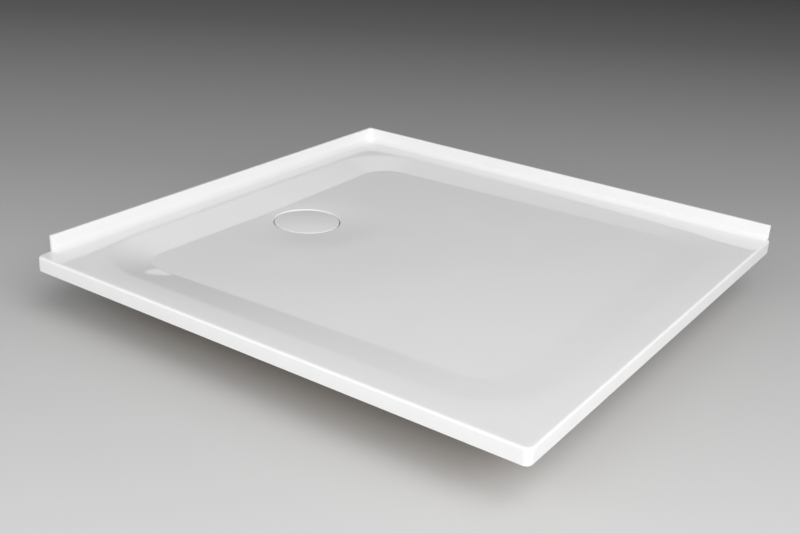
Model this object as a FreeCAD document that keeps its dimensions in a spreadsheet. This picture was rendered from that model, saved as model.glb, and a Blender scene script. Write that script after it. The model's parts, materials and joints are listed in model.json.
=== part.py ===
import FreeCAD, Part
import math
import os

import Sketcher

# Square shower tray on a levelling leg set, with a low-profile waste and trap.
# Millimetres. +Z is up, the floor is z = 0 and the plan centre is x = y = 0.
# The front is -Y. The upstands stand on the left (-X) and back (+Y) sides.

# ---------------------------------------------------------------- driving sizes

SIZES = {
    "edge_break": 1.0,              # small bevels on turned and moulded edges
    # tray
    "tray_side": 900.0,             # outside, both ways
    "skirt_height": 25.0,           # skirt's lower edge to the deck
    "standing_height": 90.0,        # floor to the skirt's lower edge
    "skin_wall": 4.0,               # moulded skin
    "corner_round": 6.0,            # upright corners, seen in plan
    "rim_round": 4.0,               # top edge of the skirt
    "upstand_rise": 27.0,           # deck to the upstands' top
    "upstand_wall": 6.0,
    "cove_round": 8.0,              # foot of the upstands
    "inner_corner_round": 16.0,     # where the two upstands meet
    "left_upstand_gap": 25.5,       # front face to the left upstand's end
    "back_upstand_gap": 4.5,        # right face to the back upstand's end
    # well
    "well_inset": 48.0,             # tray side to the well's outer edge
    "well_round": 120.0,            # corner of the well's outer edge
    "bevel_width": 64.0,            # outer edge to the well's floor
    "well_depth_low": 15.5,         # below the deck, along the floor's left edge
    "well_depth_high": 4.9,         # below the deck, along the floor's right edge
    # waste recess
    "drain_inset": 190.0,           # left face to the waste's centre
    "recess_radius": 62.25,
    "recess_depth": 34.0,           # deck to the recess floor
    "lip_depth": 19.5,              # deck to the recess lip
    "dish_radius": 126.0,           # reach of the shallow dish round the recess
    "dish_rise": 7.0,               # lip to the dish's edge, which comes out above the floor
    "waste_hole_radius": 45.0,
    # backing
    "board_inset": 60.0,
    "board_wall": 12.0,
    "board_hole_radius": 70.0,
    "board_corner_round": 25.0,
    # waste flange and seals
    "flange_radius": 55.5,
    "flange_wall": 3.0,
    "flange_seal_wall": 1.5,
    "hole_clearance": 1.5,          # neck to the waste hole
    "neck_wall": 3.0,
    "neck_length": 19.5,            # below the flange's plate
    "seat_radius": 34.0,            # opening of the seat in the neck
    "seat_wall": 3.0,
    "trap_seal_wall": 3.0,
    # trap
    "thread_clearance": 0.05,
    "trap_flange_radius": 57.0,
    "trap_flange_wall": 4.0,
    "trap_height": 58.0,
    "trap_wall": 3.0,
    "bowl_radius": 49.5,
    "bowl_round": 2.0,
    "mouth_depth": 12.0,
    "weir_radius": 36.0,
    "weir_wall": 2.5,
    "weir_height": 32.0,
    # outlet
    "outlet_level": 27.0,           # trap's underside to the outlet's axis
    "outlet_bore_radius": 18.0,
    "socket_bore_radius": 20.5,     # takes a 40 mm waste pipe
    "socket_depth": 28.0,
    "outlet_radius": 24.5,
    "outlet_reach": 88.0,           # waste's centre to the socket's mouth
    "outlet_seal_wall": 4.0,
    "pipe_clearance": 0.25,         # round the pipe in the seal and the nut
    "nut_clearance": 0.3,
    "outlet_nut_radius": 30.0,
    "outlet_nut_wall": 3.7,
    "outlet_nut_bevel": 3.0,
    "outlet_nut_overlap": 16.0,     # length that screws over the socket
    "nut_rib_radius": 1.6,
    "nut_rib_count": 12,
    # strainer cup
    "lift_clearance": 0.3,          # round all that lifts out
    "cup_radius": 30.0,
    "cup_wall": 2.0,
    "cup_rim_wall": 3.0,
    "cup_length": 42.6,             # underside of the rim to the cup's bottom
    "cup_foot_round": 3.0,
    "cup_seal_wall": 1.3,
    "cup_seal_width": 3.5,
    "cup_seal_inset": 1.2,
    "sieve_hole_radius": 4.5,
    "sieve_pitch_radius": 18.0,
    "sieve_hole_count": 8,
    "bridge_width": 8.0,
    "bridge_height": 13.0,
    "boss_radius": 8.0,
    "boss_height": 24.0,
    "boss_rise": 4.0,               # boss above the rim
    "boss_floor": 2.0,
    # cover
    "cover_radius": 57.5,
    "cover_wall": 2.5,
    "cover_rise": 2.5,              # dome's centre above its edge
    "cover_top_depth": 20.5,        # deck to the top of the cover's edge
    "cover_edge_round": 1.1,
    "stem_radius": 4.0,
    "stem_length": 30.0,
    "cover_rib_radius": 46.0,       # ring that stands on the flange
    "cover_rib_wall": 2.0,
    "cover_slot_width": 26.0,
    "cover_slot_count": 3,
    # legs
    "leg_inset": 165.0,             # tray's sides to a corner leg, both ways
    "pad_radius": 24.0,
    "pad_wall": 3.0,
    "foot_radius": 25.0,
    "foot_wall": 4.0,
    "foot_hub_radius": 11.0,
    "foot_height": 19.0,
    "foot_floor": 5.0,              # under the stud
    "foot_fillet": 2.0,             # where the plate runs up to the hub
    "stud_radius": 6.0,
    "socket_flange_radius": 32.0,
    "socket_flange_wall": 4.0,
    "boss_outer_radius": 13.0,
    "socket_height": 30.0,
    "socket_roof": 1.0,
    "gusset_wall": 4.0,
    "gusset_foot": 10.0,            # gussets' lower end above the boss's
    "gusset_count": 3,
    "lock_nut_flats": 19.0,
    "lock_nut_height": 7.0,
    "screw_radius": 2.0,
    "screw_length": 10.0,
    "screw_head_radius": 4.0,
    "screw_head_tip": 2.4,          # radius
    "screw_head_height": 2.4,
    "screw_pitch_radius": 24.0,
    "screw_count": 3,
}

LEG_PLACES = {
    "front_left": (-1, -1),
    "front_right": (1, -1),
    "back_left": (-1, 1),
    "back_right": (1, 1),
    "centre": (0, 0),
}

doc = FreeCAD.newDocument("shower_tray")
sheet = doc.addObject("Spreadsheet::Sheet", "dims")
for row, (alias, number) in enumerate(SIZES.items(), start=1):
    sheet.set(f"A{row}", alias)
    sheet.set(f"B{row}", str(number))
    sheet.setAlias(f"B{row}", alias)
doc.recompute()

Vector = FreeCAD.Vector
UP = Vector(0, 0, 1)


class Size:
    """A length with its present value and the expression that gives it."""

    def __init__(self, value, text):
        self.value = value
        self.text = text

    def _join(self, other, sign, result):
        text = other.text if isinstance(other, Size) else repr(other)
        return Size(result, f"({self.text} {sign} {text})")

    def __add__(self, other):
        return self._join(other, "+", self.value + number_of(other))

    def __sub__(self, other):
        return self._join(other, "-", self.value - number_of(other))

    def __mul__(self, other):
        return self._join(other, "*", self.value * number_of(other))

    def __truediv__(self, other):
        return self._join(other, "/", self.value / number_of(other))


def number_of(value):
    return value.value if isinstance(value, Size) else value


def size(alias):
    return Size(SIZES[alias], f"dims.{alias}")


def bind(thing, **sizes):
    """Tie properties to sizes. A double underscore stands for a dot."""
    for key, value in sizes.items():
        text = value.text if isinstance(value, Size) else repr(value)
        thing.setExpression(key.replace("__", "."), text)


def place(thing, across=None, deep=None, level=None):
    for axis, value in (("x", across), ("y", deep), ("z", level)):
        if value is not None:
            bind(thing, **{f"Placement__Base__{axis}": value})


ZERO = Size(0.0, "0")
CUT_PAST = 2.0                      # cutting tools run past the faces they cut
DISH_REACH = 1.35                   # bevels run on this far, as a share, where the dish cuts them

# ---------------------------------------------------------------- levels and places

side = size("tray_side")
half_side = side / 2
skirt_foot = size("standing_height")
deck = skirt_foot + size("skirt_height")
skin = size("skin_wall")
drain_x = size("drain_inset") - half_side
recess_floor = deck - size("recess_depth")
recess_lip = deck - size("lip_depth")
flange_underside = recess_floor + size("flange_seal_wall")
neck_radius = size("waste_hole_radius") - size("hole_clearance")
neck_bore = neck_radius - size("neck_wall")
neck_foot = flange_underside - size("neck_length")
trap_top = recess_floor - skin - size("trap_seal_wall")
trap_foot = trap_top - size("trap_height")
outlet_axis = trap_foot + size("outlet_level")
board_top = skirt_foot
board_foot = board_top - size("board_wall")
bevel = size("edge_break")

# ---------------------------------------------------------------- helpers


def origin_plane(body, role):
    return next(item for item in body.Origin.OriginFeatures if item.Role == role)


def new_body(name):
    return doc.addObject("PartDesign::Body", name)


def new_sketch(body, name, plane="XZ_Plane", offset=None):
    sketch = body.newObject("Sketcher::SketchObject", name)
    sketch.AttachmentSupport = [(origin_plane(body, plane), "")]
    sketch.MapMode = "FlatFace"
    if offset is not None:
        bind(sketch, AttachmentOffset__Base__z=offset)
    return sketch


def pin_point(sketch, line, across, up):
    """Hold the first end of a line at two sizes from the sketch's origin."""
    for kind, value, axis in (("DistanceX", across, -2), ("DistanceY", up, -1)):
        if value is ZERO:
            sketch.addConstraint(Sketcher.Constraint("PointOnObject", line[0], line[1], axis))
            continue
        made = sketch.addConstraint(
            Sketcher.Constraint(kind, -1, 1, line[0], line[1], value.value))
        sketch.setExpression(f"Constraints[{made}]", value.text)


def arc_between(first, last, radius, turn):
    """Arc from first to last; turn +1 bends it anticlockwise, -1 clockwise."""
    chord = last - first
    middle = (first + last) * 0.5
    normal = Vector(-chord.y, chord.x, 0).normalize()
    rise = math.sqrt(max(radius ** 2 - (chord.Length / 2) ** 2, 0.0))
    centre = middle + normal * rise * turn
    start, end = (first, last) if turn > 0 else (last, first)
    angles = [math.atan2(point.y - centre.y, point.x - centre.x) for point in (start, end)]
    if angles[1] < angles[0]:
        angles[1] += 2 * math.pi
    circle = Part.Circle(centre, UP, radius)
    return Part.ArcOfCircle(circle, angles[0], angles[1])


def outline(sketch, points, arcs=None):
    """Closed outline through points. arcs: {index: (radius, turn)} for rounded stretches."""
    arcs = arcs or {}
    corners = [Vector(number_of(across), number_of(up), 0) for across, up in points]
    ends = []
    for index, corner in enumerate(corners):
        following = corners[(index + 1) % len(corners)]
        if index in arcs:
            radius, turn = arcs[index]
            made = sketch.addGeometry(arc_between(corner, following, radius.value, turn), False)
            ends.append((made, 1, 2) if turn > 0 else (made, 2, 1))
        else:
            made = sketch.addGeometry(Part.LineSegment(corner, following), False)
            ends.append((made, 1, 2))
    for index, (made, _, last) in enumerate(ends):
        following = ends[(index + 1) % len(ends)]
        sketch.addConstraint(
            Sketcher.Constraint("Coincident", made, last, following[0], following[1]))
    for (made, first, _), (across, up) in zip(ends, points):
        pin_point(sketch, (made, first), across, up)
    for index, (radius, _) in arcs.items():
        held = sketch.addConstraint(
            Sketcher.Constraint("Radius", ends[index][0], radius.value))
        sketch.setExpression(f"Constraints[{held}]", radius.text)
    return sketch


def circle(sketch, radius, across=ZERO, up=ZERO):
    centre = Vector(number_of(across), number_of(up), 0)
    made = sketch.addGeometry(Part.Circle(centre, UP, radius.value), False)
    held = sketch.addConstraint(Sketcher.Constraint("Radius", made, radius.value))
    sketch.setExpression(f"Constraints[{held}]", radius.text)
    pin_point(sketch, (made, 3), across, up)
    return sketch


def rounded_square(sketch, inset, radius):
    """Rounded square inset from the tray's sides, drawn from the tray's front-left corner."""
    near = inset
    far = side - inset
    near_arc = inset + radius
    far_arc = far - radius
    points = [
        (near_arc, near), (far_arc, near), (far, near_arc), (far, far_arc),
        (far_arc, far), (near_arc, far), (near, far_arc), (near, near_arc),
    ]
    return outline(sketch, points, {index: (radius, 1) for index in (1, 3, 5, 7)})


def add_feature(body, kind, name, sketch=None, **sizes):
    feature = body.newObject(f"PartDesign::{kind}", name)
    if sketch is not None:
        feature.Profile = sketch
        sketch.Visibility = False
    bind(feature, **sizes)
    return feature


def revolve(body, name, points, arcs=None, kind="Revolution"):
    """Turn an outline, drawn as (radius, height), about the body's upright axis."""
    sketch = outline(new_sketch(body, name + "_outline"), points, arcs)
    feature = add_feature(body, kind, name, sketch)
    feature.ReferenceAxis = (sketch, ["V_Axis"])
    feature.Angle = 360
    return feature


def polar(body, name, features, count, angle=360.0):
    pattern = add_feature(body, "PolarPattern", name)
    pattern.Originals = features
    pattern.Axis = (origin_plane(body, "Z_Axis"), [""])
    pattern.Angle = angle
    bind(pattern, Occurrences=count)
    body.Tip = pattern
    return pattern


def edges_where(feature, test):
    """Names of a feature's edges whose bounding box passes the test."""
    doc.recompute()
    return [f"Edge{index}" for index, edge in enumerate(feature.Shape.Edges, start=1)
            if test(edge.BoundBox)]


def near(first, second):
    return abs(first - number_of(second)) < 0.01


def fillet(body, name, base, test, radius):
    edges = edges_where(base, test)
    if not edges:
        raise RuntimeError(f"{name}: no edge found")
    feature = add_feature(body, "Fillet", name, Radius=radius)
    feature.Base = (base, edges)
    return feature


def cylinder(name, radius, height, level, across=None, deep=None):
    thing = doc.addObject("Part::Cylinder", name)
    bind(thing, Radius=radius, Height=height)
    place(thing, across, deep, level)
    return thing


def box(name, length, width, height, across, deep, level):
    thing = doc.addObject("Part::Box", name)
    bind(thing, Length=length, Width=width, Height=height)
    place(thing, across, deep, level)
    return thing


def common(name, base, tool):
    thing = doc.addObject("Part::Common", name)
    thing.Base = base
    thing.Tool = tool
    return thing


def cut(name, base, tool):
    thing = doc.addObject("Part::Cut", name)
    thing.Base = base
    thing.Tool = tool
    return thing


def fuse(name, shapes):
    thing = doc.addObject("Part::MultiFuse", name)
    thing.Shapes = shapes
    return thing


nodes = []


def node(thing, label):
    thing.Label = label
    nodes.append(thing)
    return thing


# ---------------------------------------------------------------- tray: skin and core

rim_height = size("skirt_height")


def rim_block():
    """Outer form of the tray: skirt block with its rounded rim and the two upstands."""
    body = new_body("rim_block")
    place(body, half_side * -1, half_side * -1, skirt_foot)
    plan = rounded_square(
        new_sketch(body, "skirt_outline", "XY_Plane"), ZERO, size("corner_round"))
    block = add_feature(body, "Pad", "skirt_pad", plan, Length=rim_height)
    fillet(body, "rim_edge", block,
           lambda b: near(b.ZMin, rim_height) and near(b.ZMax, rim_height), size("rim_round"))

    wall = size("upstand_wall")
    corner = size("corner_round")
    inner = size("inner_corner_round")
    points = [
        (ZERO, size("left_upstand_gap")),
        (wall, size("left_upstand_gap")),
        (wall, side - wall - inner),
        (wall + inner, side - wall),
        (side - size("back_upstand_gap"), side - wall),
        (side - size("back_upstand_gap"), side),
        (corner, side),
        (ZERO, side - corner),
    ]
    plan = outline(new_sketch(body, "upstand_outline", "XY_Plane"), points,
                   {2: (inner, -1), 6: (corner, 1)})
    upstands = add_feature(body, "Pad", "upstand_pad", plan,
                           Length=rim_height + size("upstand_rise"))

    def at_foot(b):
        """The upstands' inner foot lies on the deck, off the tray's own edges."""
        on_deck = near(b.ZMin, rim_height) and near(b.ZMax, rim_height)
        left = near(b.XMin, wall) and b.XMax < (wall + inner).value + 0.01
        back = near(b.YMax, side - wall) and b.YMin > (side - wall - inner).value - 0.01
        return on_deck and (left or back)

    fillet(body, "upstand_cove", upstands, at_foot, size("cove_round"))
    return body


def well_outline(name, reach, drop):
    """Rounded square of the well, reach times the bevel's width in from the well's edge.

    It lies on a plane that sinks with reach: level at the deck for 0, tilted at the floor for 1.
    """
    inset = size("well_inset") + size("bevel_width") * reach
    low = size("well_depth_low") * reach
    high = size("well_depth_high") * reach
    foot_inset = size("well_inset") + size("bevel_width")
    fall = (low - high) / (side - foot_inset * 2)
    tilt = Size(-math.degrees(math.atan(fall.value)), f"-atan({fall.text})")
    sketch = doc.addObject("Sketcher::SketchObject", name)
    rounded_square(sketch, inset, size("well_round") - size("bevel_width") * reach)
    sketch.Placement = FreeCAD.Placement(Vector(), FreeCAD.Rotation(Vector(0, 1, 0), tilt.value))
    bind(sketch, Placement__Rotation__Angle=tilt)
    place(sketch, half_side * -1, half_side * -1, deck - low - fall * foot_inset - drop)
    return sketch


def well_loft(name, reach, drop):
    loft = doc.addObject("Part::Loft", name)
    loft.Sections = [well_outline(name + "_edge", 0, drop),
                     well_outline(name + "_foot", reach, drop)]
    loft.Solid = True
    loft.Ruled = True
    return loft


def well_tools(name, drop):
    """The well and its dish, lowered by drop. The dish keeps inside the bevels' own planes."""
    cone = doc.addObject("Part::Cone", name + "_dish_cone")
    bind(cone, Radius1=size("recess_radius"), Radius2=size("dish_radius"),
         Height=size("dish_rise"))
    place(cone, drain_x, None, recess_lip - drop)
    dish = common(name + "_dish", cone, well_loft(name + "_dish_reach", DISH_REACH, drop))
    return [well_loft(name + "_well", 1, drop), dish]


def tray_shell_and_core():
    """The skin is the outer form, less the well above it and the core below it."""
    inner_side = side - skin * 2
    core_block = box("core_block", inner_side, inner_side, rim_height - skin,
                     skin - half_side, skin - half_side, skirt_foot)
    core_form = cut("core_form", core_block, fuse("underside_tools", well_tools("under", skin)))

    cup_outer = size("recess_radius") + skin
    cup_foot = recess_floor - skin
    cup_height = recess_lip - skin / 2 - cup_foot
    cup = cylinder("recess_cup", cup_outer, cup_height, cup_foot, drain_x)
    bore = cylinder("recess_bore", size("recess_radius"),
                    deck - recess_floor, recess_floor, drain_x)
    hole = cylinder("waste_hole", size("waste_hole_radius"), skin * 3,
                    cup_foot - skin, drain_x)
    hollow = cut("hollow_block", rim_block(), core_form)
    solid = fuse("solid_skin", [hollow, cup])
    tools = fuse("topside_tools", well_tools("top", ZERO) + [bore, hole])
    node(cut("skin_cut", solid, tools), "tray_shell")

    through = cylinder("core_hole", cup_outer, rim_height * 2, skirt_foot - skin, drain_x)
    node(cut("core_cut", core_form, through), "resin_core")


# ---------------------------------------------------------------- legs


def leg_position(signs):
    spread = half_side - size("leg_inset")
    return spread * signs[0], spread * signs[1]


def leg_screws():
    """Pan-head screws that hold the sockets to the board, three to a socket."""
    radius = size("screw_radius")
    pitch = size("screw_pitch_radius")
    seat = board_foot - size("socket_flange_wall")
    screws = []
    for place_name, signs in LEG_PLACES.items():
        leg_x, leg_y = leg_position(signs)
        for index in range(int(SIZES["screw_count"])):
            turn = 2 * math.pi * (index + 0.5) / SIZES["screw_count"]
            across = leg_x + pitch * round(math.cos(turn), 9)
            deep = leg_y + pitch * round(math.sin(turn), 9)
            tag = f"{place_name}_{index}"
            shank = cylinder("shank_" + tag, radius,
                             size("screw_length") + size("socket_flange_wall"),
                             seat, across, deep)
            head = doc.addObject("Part::Cone", "head_" + tag)
            bind(head, Radius1=size("screw_head_tip"),
                 Radius2=size("screw_head_radius"), Height=size("screw_head_height"))
            place(head, across, deep, seat - size("screw_head_height"))
            screws.append(fuse("screw_" + tag, [shank, head]))
    group = doc.addObject("Part::Compound", "screw_group")
    group.Links = screws
    return node(group, "leg_screws")


def base_board(screws):
    body = new_body("board_blank")
    place(body, half_side * -1, half_side * -1, board_foot)
    plan = rounded_square(new_sketch(body, "board_outline", "XY_Plane"),
                          size("board_inset"), size("board_corner_round"))
    add_feature(body, "Pad", "board_pad", plan, Length=size("board_wall"))
    hole = cylinder("board_hole", size("board_hole_radius"), size("board_wall") * 3,
                    board_foot - size("board_wall"), drain_x)
    node(cut("board_drilled", cut("board_bored", body, hole), screws), "base_board")


def leg_socket(tag, across, deep):
    """Flanged boss with gussets; the stud screws up into its blind bore."""
    body = new_body("socket_" + tag)
    place(body, across, deep, board_foot - size("socket_height"))
    height = size("socket_height")
    flange = size("socket_flange_wall")
    bore = size("stud_radius") + size("thread_clearance")
    boss = size("boss_outer_radius")
    revolve(body, "socket_turned_" + tag, [
        (bore, ZERO), (boss, ZERO), (boss + bevel, height - flange),
        (size("socket_flange_radius"), height - flange),
        (size("socket_flange_radius"), height), (ZERO, height),
        (ZERO, height - size("socket_roof")), (bore, height - size("socket_roof")),
    ])
    gusset = outline(new_sketch(body, "gusset_outline_" + tag), [
        (boss - bevel, size("gusset_foot")), (boss, size("gusset_foot")),
        (size("socket_flange_radius") - bevel * 2, height - flange),
        (boss - bevel, height - flange),
    ])
    rib = add_feature(body, "Pad", "gusset_" + tag, gusset, Length=size("gusset_wall"))
    rib.Midplane = True
    polar(body, "gussets_" + tag, [rib], size("gusset_count"))
    holes = circle(new_sketch(body, "socket_hole_" + tag, "XY_Plane", height + CUT_PAST),
                   size("screw_radius"), size("screw_pitch_radius") * 0.5,
                   size("screw_pitch_radius") * math.sin(math.pi / 3))
    drilled = add_feature(body, "Pocket", "socket_drilled_" + tag, holes,
                          Length=flange + CUT_PAST * 2)
    polar(body, "socket_holes_" + tag, [drilled], size("screw_count"))
    return node(body, "leg_socket_" + tag)


def leg_pieces(tag, across, deep):
    """Rubber pad, foot, threaded stud and lock nut of one leg, from the floor up."""
    pad = new_body("pad_" + tag)
    place(pad, across, deep)
    radius = size("pad_radius")
    revolve(pad, "pad_turned_" + tag, [
        (ZERO, ZERO), (radius - bevel, ZERO), (radius, bevel), (radius, size("pad_wall")),
        (ZERO, size("pad_wall")),
    ])
    node(pad, "foot_pad_" + tag)

    foot = new_body("foot_" + tag)
    place(foot, across, deep, size("pad_wall"))
    bore = size("stud_radius") + size("thread_clearance")
    edge = size("foot_wall") / 2
    hub = size("foot_hub_radius")
    top = size("foot_height")
    fillet_size = size("foot_fillet")
    revolve(foot, "foot_turned_" + tag, [
        (ZERO, ZERO), (size("foot_radius"), ZERO), (size("foot_radius"), edge),
        (size("foot_radius") - edge, size("foot_wall")),
        (hub + fillet_size, size("foot_wall") + bevel),
        (hub, size("foot_wall") + bevel + fillet_size), (hub - bevel, top), (bore, top),
        (bore, size("foot_floor")), (ZERO, size("foot_floor")),
    ], {2: (edge, 1)})
    node(foot, "leg_foot_" + tag)

    stud_foot = size("pad_wall") + size("foot_floor")
    stud_top = board_foot - size("socket_roof") - size("nut_clearance")
    stud = new_body("stud_" + tag)
    place(stud, across, deep, stud_foot)
    length = stud_top - stud_foot
    radius = size("stud_radius")
    revolve(stud, "stud_turned_" + tag, [
        (ZERO, ZERO), (radius - bevel, ZERO), (radius, bevel), (radius, length - bevel),
        (radius - bevel, length), (ZERO, length),
    ])
    node(stud, "leg_stud_" + tag)

    nut = new_body("nut_" + tag)
    place(nut, across, deep, board_foot - size("socket_height")
          - size("nut_clearance") - size("lock_nut_height"))
    reach = size("lock_nut_flats") / math.sqrt(3)
    plan = new_sketch(nut, "nut_outline_" + tag, "XY_Plane")
    hexagon(plan, reach)
    circle(plan, bore)
    add_feature(nut, "Pad", "nut_pad_" + tag, plan, Length=size("lock_nut_height"))
    node(nut, "leg_nut_" + tag)


def hexagon(sketch, reach):
    """Regular hexagon about the origin with corners at reach; two corners lie on X."""
    corner = [Vector(reach.value * math.cos(math.radians(60 * step)),
                     reach.value * math.sin(math.radians(60 * step)), 0) for step in range(6)]
    for step in range(6):
        sketch.addGeometry(Part.LineSegment(corner[step], corner[(step + 1) % 6]), False)
    guide = sketch.addGeometry(Part.Circle(Vector(), UP, reach.value), True)
    sketch.addConstraint(Sketcher.Constraint("Coincident", guide, 3, -1, 1))
    for step in range(6):
        sketch.addConstraint(
            Sketcher.Constraint("Coincident", step, 2, (step + 1) % 6, 1))
        sketch.addConstraint(Sketcher.Constraint("PointOnObject", step, 1, guide))
    for step in range(1, 6):
        sketch.addConstraint(Sketcher.Constraint("Equal", 0, step))
    sketch.addConstraint(Sketcher.Constraint("PointOnObject", 0, 1, -1))
    held = sketch.addConstraint(Sketcher.Constraint("Radius", guide, reach.value))
    sketch.setExpression(f"Constraints[{held}]", reach.text)


# ---------------------------------------------------------------- waste and trap


def ring(name, label, inner, outer, height, level):
    body = new_body(name)
    place(body, drain_x, None, level)
    revolve(body, name + "_turned",
            [(inner, ZERO), (outer, ZERO), (outer, height), (inner, height)])
    return node(body, label)


def waste_flange():
    """Plate on the upper seal, with a neck that screws into the trap and a seat in it."""
    body = new_body("flange")
    place(body, drain_x, None, neck_foot)
    neck = size("neck_length")
    top = neck + size("flange_wall")
    plate = size("flange_radius")
    revolve(body, "flange_turned", [
        (size("seat_radius"), ZERO), (neck_radius, ZERO), (neck_radius, neck),
        (plate, neck), (plate, top - bevel), (plate - bevel * 2, top), (neck_bore, top),
        (neck_bore, size("seat_wall")), (size("seat_radius"), size("seat_wall")),
    ])
    node(body, "waste_flange")


def trap_body():
    """Bowl with a flanged mouth, a hole in its side for the outlet and a weir on its floor."""
    body = new_body("trap")
    place(body, drain_x, None, trap_foot)
    height = size("trap_height")
    bowl = size("bowl_radius")
    wall = size("trap_wall")
    mouth = neck_radius + size("thread_clearance")
    mouth_foot = height - size("mouth_depth")
    bend = size("bowl_round")
    revolve(body, "trap_outside", [
        (ZERO, ZERO), (bowl - bend, ZERO), (bowl, bend),
        (bowl, height - size("trap_flange_wall")),
        (size("trap_flange_radius"), height - size("trap_flange_wall")),
        (size("trap_flange_radius"), height), (ZERO, height),
    ], {1: (bend, 1)})

    inside = bowl - wall
    revolve(body, "trap_inside", [
        (ZERO, wall), (inside - bend, wall), (inside, wall + bend), (inside, mouth_foot),
        (mouth, mouth_foot), (mouth, height + CUT_PAST), (ZERO, height + CUT_PAST),
    ], kind="Groove")
    bore_along_outlet(body, "outlet_hole", size("outlet_bore_radius"), bowl, wall * 2.5)
    node(body, "trap_body")

    weir = size("weir_radius")
    ring("weir_sleeve", "trap_weir", weir, weir + size("weir_wall"), size("weir_height"),
         trap_foot + wall)


def bore_along_outlet(body, name, radius, start, depth):
    """Round hole about the outlet's axis, from a distance outside the trap's axis inwards."""
    plan = circle(new_sketch(body, name + "_outline", "YZ_Plane", start * -1),
                  radius, ZERO, size("outlet_level"))
    bored = add_feature(body, "Pocket", name, plan, Length=depth)
    bored.Reversed = True


def trap_outlet():
    """Side pipe with its root cut to the bowl's round wall and a pipe socket at its mouth."""
    body = new_body("outlet")
    place(body, drain_x, None, trap_foot)
    reach = size("outlet_reach")
    plan = circle(new_sketch(body, "outlet_outline", "YZ_Plane", reach * -1),
                  size("outlet_radius"), ZERO, size("outlet_level"))
    add_feature(body, "Pad", "outlet_tube", plan, Length=reach)

    bowl = size("bowl_radius")
    height = size("trap_height")
    revolve(body, "outlet_root", [
        (ZERO, ZERO), (bowl, ZERO), (bowl, height), (ZERO, height),
    ], kind="Groove")
    bore_along_outlet(body, "pipe_socket", size("socket_bore_radius"), reach,
                      size("socket_depth"))
    bore_along_outlet(body, "outlet_bore", size("outlet_bore_radius"), reach, reach)
    node(body, "trap_outlet")


def lay_along_outlet(body, reach):
    """Turn a body's upright axis to point out of the trap's outlet, at a reach from its axis."""
    body.Placement = FreeCAD.Placement(Vector(), FreeCAD.Rotation(Vector(0, 1, 0), -90))
    place(body, drain_x - reach, None, outlet_axis)


def outlet_pieces():
    seal = new_body("socket_seal")
    lay_along_outlet(seal, size("outlet_reach"))
    inner = size("socket_bore_radius") + size("pipe_clearance")
    outer = size("outlet_radius")
    wall = size("outlet_seal_wall")
    revolve(seal, "socket_seal_turned",
            [(inner, ZERO), (outer, ZERO), (outer, wall / 2), (outer - bevel, wall), (inner, wall)])
    node(seal, "outlet_seal")

    nut = new_body("socket_nut")
    lay_along_outlet(nut, size("outlet_reach") - size("outlet_nut_overlap"))
    bore = size("outlet_radius") + size("nut_clearance")
    radius = size("outlet_nut_radius")
    depth = size("outlet_nut_overlap") + wall + size("nut_clearance")
    length = depth + size("outlet_nut_wall")
    nose = size("outlet_nut_bevel")
    pipe_way = inner + size("pipe_clearance")
    revolve(nut, "socket_nut_turned", [
        (bore, ZERO), (radius - bevel, ZERO), (radius, bevel), (radius, length - nose),
        (radius - nose, length), (pipe_way, length), (pipe_way, depth), (bore, depth),
    ])
    plan = circle(new_sketch(nut, "grip_outline", "XY_Plane"),
                  size("nut_rib_radius"), radius, ZERO)
    rib = add_feature(nut, "Pad", "grip", plan, Length=length - nose - bevel)
    polar(nut, "grips", [rib], size("nut_rib_count"))
    node(nut, "outlet_nut")


def strainer_cup():
    """Dip tube with a sieved bottom and a sealing rim."""
    seat = neck_foot + size("seat_wall")
    rim_underside = seat + size("lift_clearance") + size("cup_seal_wall")
    length = size("cup_length")
    cup_foot = rim_underside - length
    body = new_body("cup")
    place(body, drain_x, None, cup_foot)
    outer = size("cup_radius")
    wall = size("cup_wall")
    inner = outer - wall
    rim = neck_bore - size("lift_clearance")
    top = length + size("cup_rim_wall")
    bend = size("cup_foot_round")
    revolve(body, "cup_turned", [
        (ZERO, ZERO), (outer - bend, ZERO), (outer, bend), (outer, length), (rim, length),
        (rim, top), (inner, top), (inner, wall + bevel), (inner - bevel, wall), (ZERO, wall),
    ], {1: (bend, 1)})
    hole = circle(new_sketch(body, "sieve_outline", "XY_Plane", ZERO - CUT_PAST),
                  size("sieve_hole_radius"), size("sieve_pitch_radius"), ZERO)
    pierced = add_feature(body, "Pocket", "sieve_hole", hole, Length=wall + CUT_PAST * 2)
    pierced.Reversed = True
    polar(body, "sieve", [pierced], size("sieve_hole_count"))
    node(body, "strainer_cup")
    strainer_bridge(cup_foot + top, inner)

    seal_outer = rim - size("cup_seal_inset")
    ring("cup_washer", "cup_seal", seal_outer - size("cup_seal_width"), seal_outer,
         size("cup_seal_wall"), rim_underside - size("cup_seal_wall"))


def strainer_bridge(top, reach):
    """Bar pressed between the cup's walls, with a boss that holds the cover's stem."""
    height = size("bridge_height")
    width = size("bridge_width")
    bar = box("bridge_bar", reach * 2, width, height, drain_x - reach, width / -2, top - height)
    trimmed = common("bridge_trimmed", bar,
                     cylinder("bridge_reach", reach, height, top - height, drain_x))
    boss_height = size("boss_height")
    boss_foot = top + size("boss_rise") - boss_height
    boss = cylinder("bridge_boss", size("boss_radius"), boss_height, boss_foot, drain_x)
    bore = cylinder("boss_bore", size("stem_radius") + size("lift_clearance"),
                    boss_height, boss_foot + size("boss_floor"), drain_x)
    node(cut("bridge_bored", fuse("bridge_solid", [trimmed, boss]), bore), "strainer_bridge")


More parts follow.
